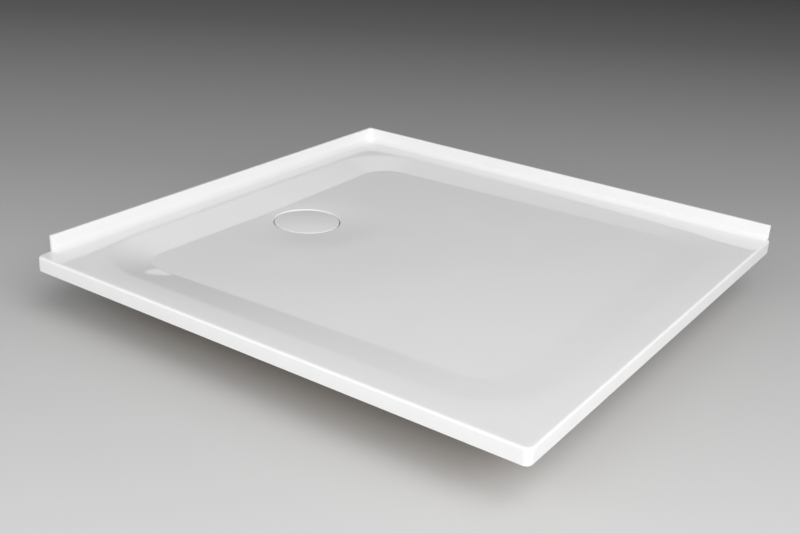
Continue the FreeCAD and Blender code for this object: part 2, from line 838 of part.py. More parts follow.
def waste_cover():
    """Shallow dome on a slotted ring, with a stem that plugs into the strainer's boss."""
    body = new_body("cover")
    flange_top = flange_underside + size("flange_wall")
    foot = flange_top + size("lift_clearance")
    edge_top = deck - size("cover_top_depth") - foot
    wall = size("cover_wall")
    edge_foot = edge_top - wall
    place(body, drain_x, None, foot)
    radius = size("cover_radius")
    rise = size("cover_rise")
    edge = size("cover_edge_round")
    reach = radius - edge
    dome = (reach * reach + rise * rise) / (rise * 2)
    revolve(body, "cover_turned", [
        (ZERO, edge_foot + rise), (reach, edge_foot), (radius, edge_foot + edge),
        (radius, edge_top - edge), (reach, edge_top), (ZERO, edge_top + rise),
    ], {0: (dome, -1), 1: (edge, 1), 3: (edge, 1), 4: (dome, 1)})

    rib = size("cover_rib_radius")
    rib_wall = size("cover_rib_wall")
    ring_top = edge_foot + rise / 2
    revolve(body, "cover_ring", [
        (rib, ZERO), (rib + rib_wall, ZERO), (rib + rib_wall, ring_top), (rib, ring_top),
    ])
    half_slot = size("cover_slot_width") / 2
    slot_foot = ZERO - CUT_PAST
    slot_top = edge_foot - bevel / 2
    slot = outline(new_sketch(body, "slot_outline", "XZ_Plane"), [
        (half_slot * -1, slot_foot), (half_slot, slot_foot),
        (half_slot, slot_top), (half_slot * -1, slot_top),
    ])
    opening = add_feature(body, "Pocket", "ring_slot", slot, Length=radius)
    opening.Reversed = True
    polar(body, "ring_slots", [opening], size("cover_slot_count"))

    root = edge_foot + rise
    stem = circle(new_sketch(body, "stem_outline", "XY_Plane", root - size("stem_length")),
                  size("stem_radius"))
    add_feature(body, "Pad", "stem", stem, Length=size("stem_length") + bevel / 2)
    node(body, "waste_cover")


# ---------------------------------------------------------------- assembly

tray_shell_and_core()
base_board(leg_screws())
for place_name, signs in LEG_PLACES.items():
    leg_x, leg_y = leg_position(signs)
    leg_socket(place_name, leg_x, leg_y)
    leg_pieces(place_name, leg_x, leg_y)
waste_flange()
washer_bore = size("waste_hole_radius") + bevel / 2
ring("upper_washer", "flange_seal", washer_bore, size("flange_radius") - bevel / 2,
     size("flange_seal_wall"), recess_floor)
ring("lower_washer", "trap_seal", washer_bore, size("trap_flange_radius") - bevel,
     size("trap_seal_wall"), trap_top)
trap_body()
trap_outlet()
outlet_pieces()
strainer_cup()
waste_cover()
doc.recompute()

# ---------------------------------------------------------------- checks and export

for thing in doc.Objects:
    if "Invalid" in thing.State or "Error" in thing.State:
        raise RuntimeError(f"{thing.Label} did not build: {thing.State}")
for thing in nodes:
    shape = thing.Shape
    if shape.isNull() or not shape.isValid() or shape.Volume <= 0:
        raise RuntimeError(f"{thing.Label} has no valid shape")

os.makedirs("parts", exist_ok=True)
for thing in nodes:
    thing.Shape.exportStep(f"parts/{thing.Label}.step")
    print(f"{thing.Label}: {len(thing.Shape.Solids)} solid(s), {thing.Shape.Volume:.0f} mm3")
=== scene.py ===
"""Looks of the shower tray. Lengths are in millimetres until MM turns them into metres."""
import json
import math

import bmesh
import bpy
from mathutils import Matrix, Vector


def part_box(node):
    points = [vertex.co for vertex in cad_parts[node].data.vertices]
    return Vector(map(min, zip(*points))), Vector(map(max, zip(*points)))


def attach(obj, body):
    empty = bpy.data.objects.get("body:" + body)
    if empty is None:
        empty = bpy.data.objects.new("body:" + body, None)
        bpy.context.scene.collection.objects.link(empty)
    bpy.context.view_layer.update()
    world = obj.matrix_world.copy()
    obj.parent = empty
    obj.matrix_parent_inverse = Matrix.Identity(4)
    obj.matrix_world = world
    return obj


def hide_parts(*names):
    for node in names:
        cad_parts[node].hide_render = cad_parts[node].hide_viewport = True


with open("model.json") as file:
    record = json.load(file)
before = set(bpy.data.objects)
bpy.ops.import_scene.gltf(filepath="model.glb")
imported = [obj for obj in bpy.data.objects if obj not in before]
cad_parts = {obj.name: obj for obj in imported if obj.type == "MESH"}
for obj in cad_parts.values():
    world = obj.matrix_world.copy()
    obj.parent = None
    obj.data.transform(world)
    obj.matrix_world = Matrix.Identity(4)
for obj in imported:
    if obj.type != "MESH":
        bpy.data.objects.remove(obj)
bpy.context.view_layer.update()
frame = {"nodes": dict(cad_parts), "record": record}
MM = 0.001
QUARTER_TURN = math.pi / 2
FULL_TURN = 2 * math.pi

# Camera, in the row frame.
EYE = (932.7, -1470.4, 817.9)
AHEAD = (-0.51128, 0.76493, -0.39175)
UP = (-0.26116, 0.29599, 0.91880)
IMAGE_WIDTH = 800
FOCAL_PIXELS = 1102.2
SENSOR = 36.0

# Tray.
HALF = 450.0
DECK = 115.0
SKIN = 4.0
SKIRT_FOOT = 90.0
SKIRT_EDGE = 0.5                    # chamfer at the skirt's foot
SKIRT_MIDDLE = 100.0
RIM_ROUND = 4.0
# outer corners: back right, back left (where the upstands meet), front left and front right
CORNER_ROUNDS = (6.0, 3.0, 10.0, 10.0)
CORNER_LESS = 2.5                   # what these rounds lose by the flat deck
INSIDE_ROUND = 3.0                  # outer corners of the skin's inner side

# Upstands.
WALL = 6.0
WALL_TOP = 142.0
WALL_EDGE = 0.9
WALL_LEAN = 1.2                     # their inner faces lean out by this at the top
COVE_REACH, COVE_RISE = 16.0, 8.0
COVE_SINK = 2.0                     # the cove's foot lies this far inside the deck
INNER_CORNER = 9.0
CORNER_RUN = 24.0                   # outer corner to the straight runs
LEFT_WALL_END = -421.5
BACK_WALL_END = 446.5

# Well. Insets are from the tray's side.
WELL_INSET = 48.0
WELL_ROUND = 120.0
BEVEL_WIDTH = 64.0
BEVEL_FOOT = WELL_INSET + BEVEL_WIDTH
DEPTH_LOW = 14.4
DEPTH_HIGH = 3.2
CROWN_START = 9.0                   # inset at which the deck's fall towards the well begins
FOLD = (44.0, 53.0)                 # insets between which the deck folds into the bevel
CROWN_SHARE = 0.36                  # slope of the deck at the fold, over the bevel's
FOOT_BLEND_LEFT, FOOT_BLEND_RIGHT = 2.0, 6.0

# Waste recess.
DRAIN_X = -260.0
RECESS_RADIUS = 60.4
LIP_ROUND = 2.6
RECESS_FLOOR = 81.0
RECESS_FILLET = 2.0
RECESS_RING = 52.0                  # a ring of points on the recess's floor
HOLE_RADIUS = 45.0
HOLE_EDGE = 0.5

# Depth that the fall to the waste adds, by distance from the waste's centre.
DISH = [(61, 6.0), (75, 5.15), (90, 4.4), (110, 3.5), (130, 2.9), (150, 2.5), (180, 2.15),
        (220, 1.6), (260, 1.05), (300, 0.45), (330, 0.12), (360, 0.0)]
LEVEL_REACH = 150.0                 # the lip is level, and the floor's tilt is back by here

# Waste cover.
COVER_RADIUS = 59.3
COVER_RISE = 2.5
COVER_SINK = 0.7                    # its edge lies this far below the lip
COVER_BEND = 1.8
COVER_HALF_EDGE = 1.25
COVER_THICKNESS = 2.5
STEM_RADIUS, STEM_TIP_RADIUS = 4.0, 3.2
STEM_TAPER = 0.8
STEM_LENGTH = 30.0
SPIGOT_RADII = (46.0, 48.0)         # ring below the dome that stands on the waste flange
SPIGOT_HALF_GAP = 13.0
SPIGOT_FOOT = RECESS_FLOOR + 1.5 + 3.0 + 0.3    # over the seal, the flange and a clearance
STEM_ROOT, SPIGOT_ROOT = 2.0, 1.5   # depth below the dome's top at which each of them begins

# Leg studs.
THREAD_PITCH = 1.75
THREAD_CREST, THREAD_ROOT = 5.98, 5.05
STUD_END_RADIUS = THREAD_ROOT - 0.6
STUD_CHAMFER = 1.0

# Half the length on which a side's columns stand, for the outer rings and the well.
OUTER_SPAN = 428.0
WELL_SPAN = HALF - WELL_INSET - WELL_ROUND

# Mesh steps.
SIDE_STEPS, ARC_STEPS = 96, 24
RIM_STEPS, LIP_STEPS = 8, 5
CROWN_STEPS, FOLD_STEPS, BEVEL_STEPS, FOOT_STEPS = 10, 12, 6, 6
FLOOR_STEPS = 44
FLOOR_CROWDING = 1.6                # above 1, the floor's rings crowd towards the recess
UNDERSIDE_SHARES = (0.75, 0.5, 0.25)
EDGE_STEPS, COVE_STEPS, CORNER_STEPS, RUN_STEPS = 6, 14, 24, 59
DOME_STEPS, BEND_STEPS, DOME_TURN_STEPS = 28, 8, 144
STEM_TURN_STEPS, SPIGOT_TURN_STEPS = 48, 36
STUD_TURN_STEPS, STEPS_PER_PITCH = 28, 8

# Angles in degrees between faces above which an edge is shaded sharp.
MOULDED_SHARP, COVER_SHARP, THREAD_SHARP = 35, 40, 60


# ---------------------------------------------------------------- helpers

def mix(a, b, t):
    return a + (b - a) * t


def smooth(t):
    t = min(max(t, 0.0), 1.0)
    return t * t * (3 - 2 * t)


def shares(steps):
    """Numbers from 0 to 1, one more than `steps`."""
    return [i / steps for i in range(steps + 1)]


def quarter_angles(steps):
    return [share * QUARTER_TURN for share in shares(steps)]


def table_value(rows, at):
    """Value at `at` in rows of (place, value), straight between rows."""
    if at <= rows[0][0]:
        return rows[0][1]
    for (x0, y0), (x1, y1) in zip(rows, rows[1:]):
        if at <= x1:
            return mix(y0, y1, (at - x0) / (x1 - x0))
    return rows[-1][1]


def make_object(name, points, faces, material, sharp=MOULDED_SHARP):
    mesh = bpy.data.meshes.new(name)
    mesh.from_pydata([Vector(p) * MM for p in points], [], faces)
    bm = bmesh.new()
    bm.from_mesh(mesh)
    bmesh.ops.remove_doubles(bm, verts=bm.verts, dist=1e-7)
    bmesh.ops.recalc_face_normals(bm, faces=bm.faces)
    bm.to_mesh(mesh)
    bm.free()
    mesh.shade_smooth()
    mesh.set_sharp_from_angle(angle=math.radians(sharp))
    thing = bpy.data.objects.new(name, mesh)
    bpy.context.scene.collection.objects.link(thing)
    mesh.materials.append(material)
    return thing


def grid_faces(rings, count, close_rings):
    """Quads between neighbouring rings of `count` points each."""
    faces = []
    for r in range(rings if close_rings else rings - 1):
        a, b = r * count, (r + 1) % rings * count
        for j in range(count):
            k = (j + 1) % count
            faces.append((a + j, a + k, b + k, b + j))
    return faces


def flat_list(rings):
    return [point for ring in rings for point in ring]


# ---------------------------------------------------------------- materials

class Nodes:
    """Short forms for building one material's node tree."""

    def __init__(self, name):
        self.material = bpy.data.materials.new(name)
        self.material.use_nodes = True
        self.tree = self.material.node_tree
        self.shader = self.tree.nodes["Principled BSDF"]
        self.coordinates = self.add("ShaderNodeTexCoord").outputs["Object"]

    def add(self, kind, **inputs):
        node = self.tree.nodes.new(kind)
        for key, value in inputs.items():
            self.feed(node.inputs[key.replace("_", " ")], value)
        return node

    def feed(self, socket, value):
        if isinstance(value, bpy.types.NodeSocket):
            self.tree.links.new(value, socket)
        else:
            socket.default_value = value

    def stretched(self, stretch):
        """The object's coordinates, scaled by `stretch` if one is given."""
        if not stretch:
            return self.coordinates
        return self.add("ShaderNodeMapping", Vector=self.coordinates, Scale=stretch).outputs[0]

    def noise(self, scale, detail=3.0, stretch=None):
        return self.add("ShaderNodeTexNoise", Vector=self.stretched(stretch), Scale=scale,
                        Detail=detail).outputs["Fac"]

    def cells(self, scale, stretch=None):
        return self.add("ShaderNodeTexVoronoi", Vector=self.stretched(stretch), Scale=scale)

    def ramp(self, value, stops):
        node = self.add("ShaderNodeValToRGB", Fac=value)
        ends = node.color_ramp.elements
        while len(ends) < len(stops):
            ends.new(0.5)
        for end, (place, colour) in zip(ends, stops):
            end.position = place
            end.color = (*colour, 1.0)
        return node.outputs["Color"]

    def span(self, value, low, high):
        return self.add("ShaderNodeMapRange", Value=value, From_Min=0.3, From_Max=0.7,
                        To_Min=low, To_Max=high).outputs[0]

    def darken(self, base, by, share):
        """`base` multiplied by the colours of `by`, at a share."""
        node = self.add("ShaderNodeMix")
        node.data_type = "RGBA"
        node.blend_type = "MULTIPLY"
        node.inputs["Factor"].default_value = share
        self.feed(node.inputs[6], base)
        self.feed(node.inputs[7], by)
        return node.outputs[2]

    def bump(self, height, distance, strength=1.0):
        node = self.add("ShaderNodeBump", Height=height, Distance=distance, Strength=strength)
        self.feed(self.shader.inputs["Normal"], node.outputs[0])

    def set(self, **inputs):
        for key, value in inputs.items():
            self.feed(self.shader.inputs[key.replace("_", " ")], value)


def grey(value):
    return (value, value, value)


def shaded(tone, share):
    return tuple(c * share for c in tone)


def glossy_white(name, tone, rough, grain):
    n = Nodes(name)
    n.set(Base_Color=n.ramp(n.noise(9.0, 4.0), [(0.3, shaded(tone, 0.985)), (0.7, tone)]),
          Roughness=n.span(n.noise(55.0, 5.0), rough * 0.6, rough * 1.4),
          Specular_IOR_Level=0.5)
    n.bump(n.noise(grain, 2.0), 0.00001, 0.5)
    return n.material


def speckled_resin(name):
    n = Nodes(name)
    grit = n.cells(620.0)
    body = n.noise(40.0, 6.0)
    base = n.ramp(body, [(0.3, (0.40, 0.385, 0.36)), (0.7, (0.55, 0.535, 0.505))])
    fleck = n.ramp(grit.outputs["Distance"], [(0.12, (0.16, 0.15, 0.14)), (0.26, (1, 1, 1))])
    n.set(Base_Color=n.darken(base, fleck, 0.55), Roughness=n.span(body, 0.6, 0.8))
    n.bump(n.noise(260.0, 6.0), 0.0004, 0.6)
    return n.material


def chip_board(name):
    n = Nodes(name)
    chips = n.cells(150.0, (1.0, 0.45, 1.0))
    fine = n.noise(420.0, 5.0, (1.0, 0.3, 1.0))
    one_chip = n.add("ShaderNodeSeparateColor", Color=chips.outputs["Color"]).outputs[0]
    tone = n.ramp(one_chip, [(0.0, (0.33, 0.21, 0.105)), (0.45, (0.50, 0.35, 0.19)),
                             (1.0, (0.66, 0.49, 0.29))])
    shade = n.ramp(fine, [(0.35, (0.72, 0.70, 0.66)), (0.62, (1, 1, 1))])
    n.set(Base_Color=n.darken(tone, shade, 0.8), Roughness=n.span(fine, 0.62, 0.85))
    n.bump(chips.outputs["Distance"], 0.0006, 0.5)
    return n.material


def moulded_plastic(name, tone, rough, grain=900.0, depth=0.00005):
    n = Nodes(name)
    n.set(Base_Color=n.ramp(n.noise(60.0, 4.0), [(0.3, shaded(tone, 0.9)), (0.7, tone)]),
          Roughness=n.span(n.noise(140.0, 4.0), rough - 0.06, rough + 0.08))
    n.bump(n.noise(grain, 3.0), depth, 0.6)
    return n.material


def zinc_steel(name):
    n = Nodes(name)
    bloom = n.noise(170.0, 6.0)
    n.set(Base_Color=n.ramp(bloom, [(0.3, (0.52, 0.53, 0.55)), (0.7, (0.72, 0.73, 0.74))]),
          Roughness=n.span(n.noise(300.0, 4.0), 0.26, 0.46), Metallic=1.0)
    n.bump(n.noise(1400.0, 3.0), 0.00002, 0.6)
    return n.material


WHITE = glossy_white("tray_white_look", grey(0.83), 0.04, 300.0)
COVER_WHITE = glossy_white("cover_white_look", grey(0.82), 0.07, 600.0)
MATERIALS = {
    "tray_white": WHITE,
    "cover_white": COVER_WHITE,
    "flange_white": moulded_plastic("flange_white_look", grey(0.74), 0.35, 1500.0, 0.00002),
    "mineral_resin": speckled_resin("mineral_resin_look"),
    "board": chip_board("board_look"),
    "leg_plastic": moulded_plastic("leg_plastic_look", (0.050, 0.051, 0.054), 0.48),
    "zinc_steel": zinc_steel("zinc_steel_look"),
    "pad_rubber": moulded_plastic("pad_rubber_look", (0.025, 0.025, 0.026), 0.74, 1300.0, 0.0001),
    "seal_rubber": moulded_plastic("seal_rubber_look", (0.032, 0.032, 0.034), 0.68, 1300.0),
    "trap_plastic": moulded_plastic("trap_plastic_look", grey(0.70), 0.42),
    "cup_plastic": moulded_plastic("cup_plastic_look", (0.42, 0.44, 0.46), 0.38),
}


# ---------------------------------------------------------------- heights of the tray's top

def floor_plane(x):
    foot = HALF - BEVEL_FOOT
    return mix(DEPTH_LOW, DEPTH_HIGH, min(max((x + foot) / (2 * foot), 0.0), 1.0))


def floor_depth(x, y):
    """Depth of the well's floor below the deck's edge."""
    away = math.hypot(x - DRAIN_X, y)
    level = 1 - smooth((away - RECESS_RADIUS) / (LEVEL_REACH - RECESS_RADIUS))
    plane = mix(floor_plane(x), floor_plane(DRAIN_X), level)
    return plane + table_value(DISH, away)


LIP_Z = DECK - floor_depth(DRAIN_X + RECESS_RADIUS, 0)


def fall(inset):
    """Fall below the deck's edge at an inset, for a bevel that slopes one in one."""
    crown_width, fold_width = FOLD[0] - CROWN_START, FOLD[1] - FOLD[0]
    crown = min(max(inset - CROWN_START, 0.0), crown_width)
    fold = min(max(inset - FOLD[0], 0.0), fold_width)
    return (CROWN_SHARE * crown ** 2 / (2 * crown_width)
            + CROWN_SHARE * fold + (1 - CROWN_SHARE) * fold ** 2 / (2 * fold_width)
            + max(inset - FOLD[1], 0.0))


def deck_drop(x, y):
    """Fall of the deck or bevel below the deck's edge at a place outside the bevel's foot."""
    middle = Vector((min(max(x, -WELL_SPAN), WELL_SPAN), min(max(y, -WELL_SPAN), WELL_SPAN)))
    away = Vector((x, y)) - middle
    inset = HALF - WELL_SPAN - away.length
    foot = middle + away.normalized() * (HALF - WELL_SPAN - BEVEL_FOOT)
    return floor_depth(*foot) * fall(inset) / fall(BEVEL_FOOT)


# ---------------------------------------------------------------- tray skin

def rounded_square(inset, radius, span):
    """Points of a rounded square, the same number for every ring.

    They run anticlockwise from the right side. The radius is one number or four, for the
    corners from back right to front right.
    """
    radii = radius if isinstance(radius, tuple) else (radius,) * 4
    half = HALF - inset
    points = []
    for quarter in range(4):
        c, s = math.cos(quarter * QUARTER_TURN), math.sin(quarter * QUARTER_TURN)
        local = [(half, mix(-span, span, share)) for share in shares(SIDE_STEPS)]
        round_here = radii[quarter]
        centre = half - round_here
        local += [(centre + round_here * math.cos(a), centre + round_here * math.sin(a))
                  for a in quarter_angles(ARC_STEPS)]
        points += [(c * x - s * y, s * x + c * y) for x, y in local]
    return points


def outer_ring(inset, less, z):
    """A ring of the skirt or the rim, whose corner rounds are smaller by `less`."""
    radii = tuple(radius - less for radius in CORNER_ROUNDS)
    return [(x, y, z) for x, y in rounded_square(inset, radii, OUTER_SPAN)]


class WellColumn:
    """One line from the deck down the bevel, square to the well's outline."""

    def __init__(self, foot, beside):
        self.foot = foot
        self.outward = (beside[0] - foot[0], beside[1] - foot[1])
        across = smooth((foot[0] + HALF) / (2 * HALF))
        self.blend = mix(FOOT_BLEND_LEFT, FOOT_BLEND_RIGHT, across)

    def place(self, inset):
        back = BEVEL_FOOT - inset
        return self.foot[0] + self.outward[0] * back, self.foot[1] + self.outward[1] * back

    def on_bevel(self, inset, below=0.0):
        x, y = self.place(inset)
        return x, y, DECK - deck_drop(x, y) - below

    def on_floor(self, inset):
        x, y = self.place(inset)
        return x, y, DECK - floor_depth(x, y)

    def over_foot(self, t):
        """Round between bevel and floor, t from 0 to 1."""
        a, b, c = (Vector(p) for p in (self.on_bevel(BEVEL_FOOT - self.blend),
                                       self.on_bevel(BEVEL_FOOT),
                                       self.on_floor(BEVEL_FOOT + self.blend)))
        return tuple(a * (1 - t) ** 2 + b * 2 * t * (1 - t) + c * t * t)


def skirt_rings():
    """The skirt, the round at its top and the start of the deck."""
    rings = [outer_ring(SKIRT_EDGE, SKIRT_EDGE, SKIRT_FOOT),
             outer_ring(0.0, 0.0, SKIRT_FOOT + SKIRT_EDGE),
             outer_ring(0.0, 0.0, SKIRT_MIDDLE)]
    for angle in quarter_angles(RIM_STEPS):
        inset = RIM_ROUND - RIM_ROUND * math.cos(angle)
        rings.append(outer_ring(inset, inset / 2,
                                DECK - RIM_ROUND + RIM_ROUND * math.sin(angle)))
    return rings + [outer_ring(CROWN_START, CORNER_LESS, DECK)]


def bevel_rings(columns):
    """The deck's crown, its fold, the bevel and the round at the bevel's foot."""
    insets = [mix(CROWN_START + 1.0, FOLD[0], t) for t in shares(CROWN_STEPS)[:-1]]
    insets += [mix(*FOLD, t) for t in shares(FOLD_STEPS)[:-1]]
    rings = [[c.on_bevel(inset) for c in columns] for inset in insets]
    for t in shares(BEVEL_STEPS)[:-1]:
        rings.append([c.on_bevel(mix(FOLD[1], BEVEL_FOOT - c.blend, t)) for c in columns])
    for t in shares(FOOT_STEPS):
        rings.append([c.over_foot(t) for c in columns])
    return rings


def recess_rings(rays):
    """The recess for the waste, from its lip down and back up on the skin's inner side."""
    def circle(radius, z):
        return [(DRAIN_X + ray.x * radius, ray.y * radius, z) for ray in rays]

    rings = []
    for angle in quarter_angles(LIP_STEPS)[1:]:
        rings.append(circle(RECESS_RADIUS + LIP_ROUND - LIP_ROUND * math.sin(angle),
                            LIP_Z - LIP_ROUND + LIP_ROUND * math.cos(angle)))
    rings.append(circle(RECESS_RADIUS, (LIP_Z + RECESS_FLOOR) / 2))
    for angle in quarter_angles(LIP_STEPS):
        rings.append(circle(RECESS_RADIUS - RECESS_FILLET + RECESS_FILLET * math.cos(angle),
                            RECESS_FLOOR + RECESS_FILLET - RECESS_FILLET * math.sin(angle)))
    return rings + [circle(radius, z) for radius, z in (
        (RECESS_RING, RECESS_FLOOR),
        (HOLE_RADIUS + HOLE_EDGE, RECESS_FLOOR),
        (HOLE_RADIUS, RECESS_FLOOR - HOLE_EDGE),
        (HOLE_RADIUS, RECESS_FLOOR - SKIN),
        (RECESS_RADIUS + SKIN, RECESS_FLOOR - SKIN),
        (RECESS_RADIUS + SKIN, LIP_Z - SKIN))]


def build_skin():
    foot_round = WELL_ROUND - BEVEL_WIDTH
    columns = [WellColumn(foot, beside) for foot, beside in zip(
        rounded_square(BEVEL_FOOT, foot_round, WELL_SPAN),
        rounded_square(BEVEL_FOOT - 1.0, foot_round + 1.0, WELL_SPAN))]
    feet = [c.place(BEVEL_FOOT + c.blend) for c in columns]
    rays = [Vector((x - DRAIN_X, y)).normalized() for x, y in feet]
    lip = RECESS_RADIUS + LIP_ROUND

    def floor_ring(t, below=0.0):
        """A ring of the floor, t of the way from the bevel's foot to the recess's lip."""
        ring = []
        for (foot_x, foot_y), ray in zip(feet, rays):
            x, y = mix(foot_x, DRAIN_X + ray.x * lip, t), mix(foot_y, ray.y * lip, t)
            ring.append((x, y, DECK - floor_depth(x, y) - below))
        return ring

    rings = skirt_rings() + bevel_rings(columns)
    rings += [floor_ring(1 - (1 - t) ** FLOOR_CROWDING) for t in shares(FLOOR_STEPS)[1:]]
    rings += recess_rings(rays)
    # inner side, parallel to the top, and back down to the skirt's foot
    rings += [floor_ring(t, SKIN) for t in UNDERSIDE_SHARES]
    rings += [[c.on_bevel(inset, SKIN) for c in columns] for inset in (BEVEL_FOOT, WELL_INSET)]
    inside = rounded_square(SKIN, INSIDE_ROUND, OUTER_SPAN)
    rings += [[(x, y, z) for x, y in inside] for z in (DECK - SKIN, SKIRT_FOOT)]
    faces = grid_faces(len(rings), len(inside), True)
    return make_object("tray_skin", flat_list(rings), faces, WHITE)


def build_upstands():
    """The two upstands with the cove at their foot.

    They are swept from the left one's end, round the corner, to the back one's end.
    """
    edge = quarter_angles(EDGE_STEPS)
    section = [(0.0, DECK - RIM_ROUND)]
    section += [(WALL_EDGE - WALL_EDGE * math.cos(a),
                 WALL_TOP - WALL_EDGE + WALL_EDGE * math.sin(a)) for a in edge]
    section += [(WALL - WALL_LEAN - WALL_EDGE + WALL_EDGE * math.sin(a),
                 WALL_TOP - WALL_EDGE + WALL_EDGE * math.cos(a)) for a in edge]
    section += [(WALL + COVE_REACH * (1 - math.cos(a)), DECK + COVE_RISE * (1 - math.sin(a)))
                for a in quarter_angles(COVE_STEPS)]
    section += [(WALL + COVE_REACH, DECK - COVE_SINK), (WALL, DECK - COVE_SINK)]

    def settled(x, y, z):
        """The point, lowered with the deck that the cove runs into."""
        return x, y, z - deck_drop(x, y)

    def on_left(y, outline):
        return [settled(-HALF + u, y, z) for u, z in outline]

    def on_back(x, outline):
        return [settled(x, HALF - u, z) for u, z in outline]

    def round_corner(angle):
        ring = []
        for u, z in section:
            radius = mix(CORNER_ROUNDS[1], INNER_CORNER, min(u / WALL, 1.0))
            centre = HALF - u - radius
            ring.append(settled(-centre - radius * math.cos(angle),
                                centre + radius * math.sin(angle), z))
        return ring

    def shrunk(by):
        """The section drawn in by `by`, for the rounds at the ends."""
        outline = []
        for inset, z in section:
            inset = min(inset + by, WALL / 2) if inset < WALL / 2 else inset - by
            outline.append((inset, z - by if z > DECK + COVE_RISE + 1 else z))
        return outline

    end_rounds = [(WALL_EDGE * (1 - math.cos(a)), WALL_EDGE * (1 - math.sin(a))) for a in edge]
    rings = [on_left(LEFT_WALL_END + back, shrunk(by)) for by, back in reversed(end_rounds)]
    rings += [on_left(mix(LEFT_WALL_END + WALL_EDGE, HALF - CORNER_RUN, t), section)
              for t in shares(RUN_STEPS)[1:]]
    rings += [round_corner(angle) for angle in quarter_angles(CORNER_STEPS)]
    rings += [on_back(mix(-HALF + CORNER_RUN, BACK_WALL_END - WALL_EDGE, t), section)
              for t in shares(RUN_STEPS)]
    rings += [on_back(BACK_WALL_END - back, shrunk(by)) for by, back in end_rounds[1:]]
    count = len(section)
    faces = grid_faces(len(rings), count, False)
    faces.append(tuple(range(count)))
    faces.append(tuple((len(rings) - 1) * count + k for k in reversed(range(count))))
    return make_object("upstands", flat_list(rings), faces, WHITE)


skin = build_skin()
upstands = build_upstands()
for piece in (skin, upstands):
    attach(piece, "root")
    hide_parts("tray_shell")


# ---------------------------------------------------------------- waste cover

def lathe(profile, steps):
    """Points and faces of a form turned round the waste's axis; profile is (radius, height)."""
    points = []
    for radius, z in profile:
        for j in range(steps):
            angle = j / steps * FULL_TURN
            points.append((DRAIN_X + radius * math.cos(angle), radius * math.sin(angle), z))
    return points, grid_faces(len(profile), steps, False)


def build_cover():
    crown = LIP_Z - COVER_SINK + COVER_RISE
    sphere = (COVER_RADIUS ** 2 + COVER_RISE ** 2) / (2 * COVER_RISE)
    flat_radius = COVER_RADIUS - COVER_BEND

    def dome(radius, below=0.0):
        return crown - (sphere - math.sqrt(sphere ** 2 - radius ** 2)) - below

    radii = [flat_radius * share for share in shares(DOME_STEPS)]
    bend_centre = dome(flat_radius) - COVER_HALF_EDGE
    profile = [(radius, dome(radius)) for radius in radii]
    for share in shares(BEND_STEPS)[1:]:
        angle = share * math.pi
        profile.append((flat_radius + COVER_BEND * math.sin(angle),
                        bend_centre + COVER_HALF_EDGE * math.cos(angle)))
    profile += [(radius, dome(radius, COVER_THICKNESS)) for radius in reversed(radii[:-1])]
    points, faces = lathe(profile, DOME_TURN_STEPS)

    def join(more, more_faces):
        start = len(points)
        points.extend(more)
        faces.extend(tuple(start + k for k in face) for face in more_faces)

    # stem
    stem_top = crown - STEM_ROOT
    stem_foot = crown - COVER_THICKNESS - STEM_LENGTH
    join(*lathe([(0.0, stem_top), (STEM_RADIUS, stem_top), (STEM_RADIUS, stem_foot + STEM_TAPER),
                 (STEM_TIP_RADIUS, stem_foot), (0.0, stem_foot)], STEM_TURN_STEPS))

    # ring that stands on the flange, in three runs
    inner, outer = SPIGOT_RADII
    corners = ((inner, SPIGOT_FOOT), (outer, SPIGOT_FOOT),
               (outer, dome(outer, SPIGOT_ROOT)), (inner, dome(inner, SPIGOT_ROOT)))
    gap = math.asin(SPIGOT_HALF_GAP / ((inner + outer) / 2))
    for part in range(3):
        start = part * FULL_TURN / 3 + gap
        stop = (part + 1) * FULL_TURN / 3 - gap
        run = []
        for share in shares(SPIGOT_TURN_STEPS):
            angle = mix(start, stop, share)
            run += [(DRAIN_X + r * math.cos(angle), r * math.sin(angle), z) for r, z in corners]
        last = SPIGOT_TURN_STEPS * 4
        ends = [(0, 1, 2, 3), (last + 3, last + 2, last + 1, last)]
        join(run, grid_faces(SPIGOT_TURN_STEPS + 1, 4, False) + ends)
    return make_object("cover_dome", points, faces, COVER_WHITE, COVER_SHARP)


cover = build_cover()
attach(cover, "cover")
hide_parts("waste_cover")


# ---------------------------------------------------------------- studs

def thread_radius(z, turn):
    """Radius of the thread at a height, `turn` of the way round; flat at crest and root."""
    phase = (z / THREAD_PITCH - turn) % 1.0
    wave = min(max(abs(phase * 2 - 1) * 1.5 - 0.25, 0.0), 1.0)
    return mix(THREAD_ROOT, THREAD_CREST, wave)


def build_stud(place):
    low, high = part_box(f"leg_stud_{place}")
    centre = (low + high) / 2 / MM
    bottom, top = low.z / MM, high.z / MM
    turns = shares(STUD_TURN_STEPS)[:-1]
    steps = int((top - bottom - 2 * STUD_CHAMFER) / THREAD_PITCH * STEPS_PER_PITCH)

    def ring(z, radii):
        return [(centre.x + radius * math.cos(turn * FULL_TURN),
                 centre.y + radius * math.sin(turn * FULL_TURN), z)
                for turn, radius in zip(turns, radii)]

    end = [STUD_END_RADIUS] * STUD_TURN_STEPS
    rings = [ring(bottom, end)]
    for i in range(steps + 1):
        z = bottom + STUD_CHAMFER + i * THREAD_PITCH / STEPS_PER_PITCH
        rings.append(ring(z, [thread_radius(z, turn) for turn in turns]))
    rings.append(ring(top, end))
    last = (len(rings) - 1) * STUD_TURN_STEPS
    faces = grid_faces(len(rings), STUD_TURN_STEPS, False)
    faces.append(tuple(reversed(range(STUD_TURN_STEPS))))
    faces.append(tuple(range(last, last + STUD_TURN_STEPS)))
    return make_object(f"threaded_stud_{place}", flat_list(rings), faces,
                       MATERIALS["zinc_steel"], THREAD_SHARP)


for place in ("front_left", "front_right", "back_left", "back_right", "centre"):
    stud = build_stud(place)
    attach(stud, f"leg_{place}")
    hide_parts(f"leg_stud_{place}")


# ---------------------------------------------------------------- nodes that keep their shape

